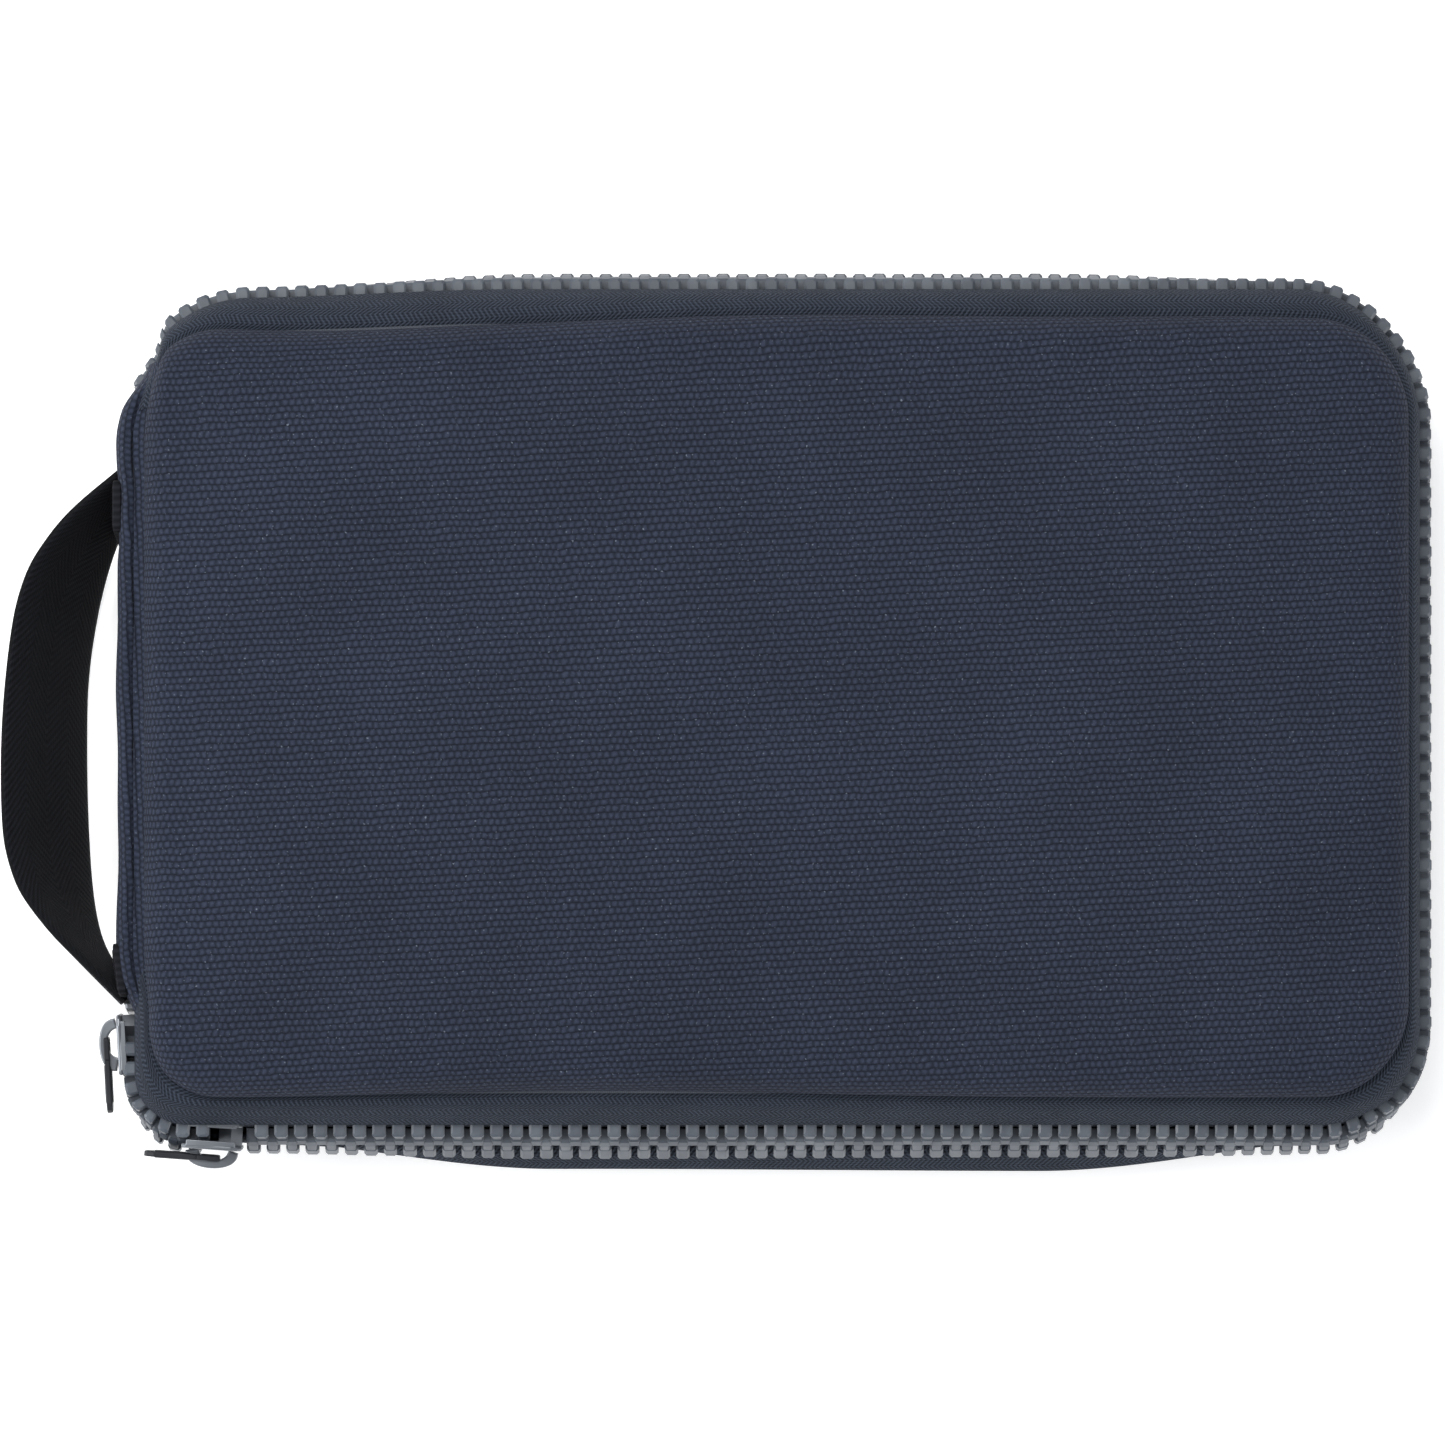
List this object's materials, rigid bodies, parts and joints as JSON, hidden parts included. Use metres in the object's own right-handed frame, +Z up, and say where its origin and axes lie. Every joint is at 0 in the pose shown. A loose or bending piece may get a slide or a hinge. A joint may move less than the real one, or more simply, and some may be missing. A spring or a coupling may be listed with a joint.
{
  "type": "travel document organizer",
  "caption": "Padded canvas travel document organizer with a two-slider zip round three sides, a cloth spine, a webbing carry handle and inside pockets.",
  "frame": {"origin": "centre of the back panel's flat outer face, on which the organizer lies", "axes": "+X from the spine to the far end (long axis), +Y across towards the side with the zip's plain end, +Z up through the front panel"},
  "size_m": [0.2497, 0.1534, 0.038],
  "materials": {
    "canvas": "navy plain-weave cotton canvas, matt",
    "webbing": "black herringbone cotton webbing, matt",
    "zip_tape": "dark slate woven zip tape",
    "teeth": "moulded slate-grey resin, satin",
    "coil": "black nylon coil",
    "slider_metal": "gunmetal enamel on die-cast zinc, semi-gloss",
    "pull_metal": "dark gunmetal enamel, semi-gloss",
    "lining": "slate polyester lining, slight sheen",
    "pocket_cloth": "slate ripstop pocket cloth",
    "padding": "soft foam, hidden",
    "thread": "black bonded thread"
  },
  "bodies": {
    "back_shell": {"back_panel": "canvas", "back_padding": "padding", "back_lining": "lining", "back_tape": "zip_tape", "back_teeth": "teeth", "ticket_sleeve": "pocket_cloth", "passport_pocket": "pocket_cloth"},
    "spine": {"spine_panel": "canvas", "spine_lining": "lining", "zip_end_upper": "zip_tape", "zip_end_lower": "zip_tape", "end_teeth": "teeth", "zip_stop": "teeth", "handle_root_upper": "webbing", "handle_root_lower": "webbing", "bar_tacks": "thread"},
    "front_cover": {"front_panel": "canvas", "front_padding": "padding", "front_lining": "lining", "front_tape": "zip_tape", "front_teeth": "teeth", "zip_pocket_panel": "pocket_cloth", "zip_pocket_top": "pocket_cloth", "inner_tape_lower": "zip_tape", "inner_tape_upper": "zip_tape", "inner_coil": "coil", "card_slot_1": "pocket_cloth", "card_slot_2": "pocket_cloth", "card_slot_3": "pocket_cloth", "card_slot_4": "pocket_cloth"},
    "slider_a": {"slider_a_body": "slider_metal", "slider_a_bridge": "slider_metal"},
    "slider_a_pull": {"slider_a_pull": "pull_metal"},
    "slider_b": {"slider_b_body": "slider_metal", "slider_b_bridge": "slider_metal"},
    "slider_b_pull": {"slider_b_pull": "pull_metal"},
    "inner_slider": {"inner_slider_body": "slider_metal", "inner_slider_bridge": "slider_metal"},
    "inner_slider_pull": {"inner_slider_pull": "pull_metal"},
    "handle": {"handle_strap": "webbing"}
  },
  "joints": [
    {"name": "spine_fold", "type": "hinge", "parent": "back_shell", "child": "spine", "pos_m": [-0.1095, 0, 0.006], "axis": [0, -1, 0], "range_deg": [0, 90]},
    {"name": "cover_fold", "type": "hinge", "parent": "spine", "child": "front_cover", "pos_m": [-0.1095, 0, 0.03], "axis": [0, -1, 0], "range_deg": [0, 88]},
    {"name": "slider_b_slide", "type": "slide", "parent": "back_shell", "child": "slider_b", "axis": [1, 0, 0], "range_m": [0, 0.189]},
    {"name": "slider_b_pull_swing", "type": "hinge", "parent": "slider_b", "child": "slider_b_pull", "pos_m": [-0.09825, -0.0767, 0], "axis": [0, 0, 1], "range_deg": [0, 175]},
    {"name": "slider_a_slide", "type": "slide", "parent": "spine", "child": "slider_a", "axis": [0, -1, 0], "range_m": [0, 0.002]},
    {"name": "slider_a_pull_swing", "type": "hinge", "parent": "slider_a", "child": "slider_a_pull", "pos_m": [-0.1167, -0.05695, 0], "axis": [0, 0, -1], "range_deg": [0, 100]},
    {"name": "handle_swing", "type": "hinge", "parent": "spine", "child": "handle", "pos_m": [-0.1168, 0, 0.018], "axis": [0, 1, 0], "range_deg": [-9, 50]},
    {"name": "inner_slider_slide", "type": "slide", "parent": "front_cover", "child": "inner_slider", "axis": [1, 0, 0], "range_m": [0, 0.174]},
    {"name": "inner_pull_swing", "type": "hinge", "parent": "inner_slider", "child": "inner_slider_pull", "pos_m": [-0.0873, 0.036, 0.0284], "axis": [0, -1, 0], "range_deg": [0, 175]}
  ]
}
